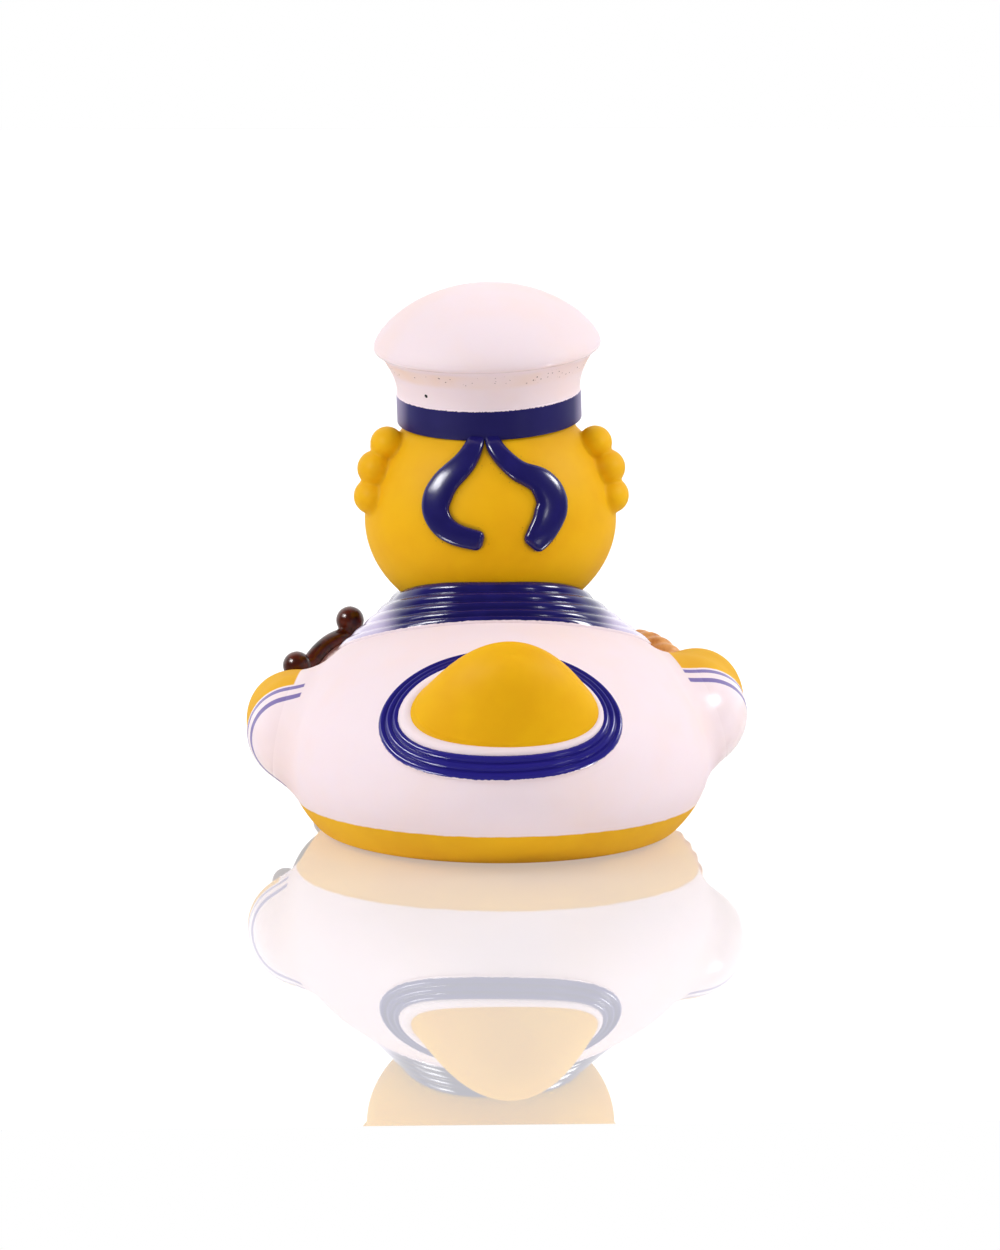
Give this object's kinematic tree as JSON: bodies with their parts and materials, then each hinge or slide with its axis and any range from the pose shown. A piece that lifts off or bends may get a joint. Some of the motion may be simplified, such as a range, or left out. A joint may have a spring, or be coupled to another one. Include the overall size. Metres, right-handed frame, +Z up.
{
  "type": "rubber duck",
  "caption": "Hollow soft-vinyl duck in a sailor cap and collar, with a ship's wheel and a rope coil, that stands on its flat base.",
  "frame": {"origin": "middle of the object's bounding box, on the plane of its flat base", "axes": "+Z up; the duck faces -Y, and its own left side is +X"},
  "size_m": [0.0832, 0.0845, 0.0907],
  "materials": {
    "vinyl": "soft vinyl, satin yellow, with gloss paint over the cap, collar and body"
  },
  "bodies": {
    "root": {"duck": "vinyl"}
  },
  "joints": []
}
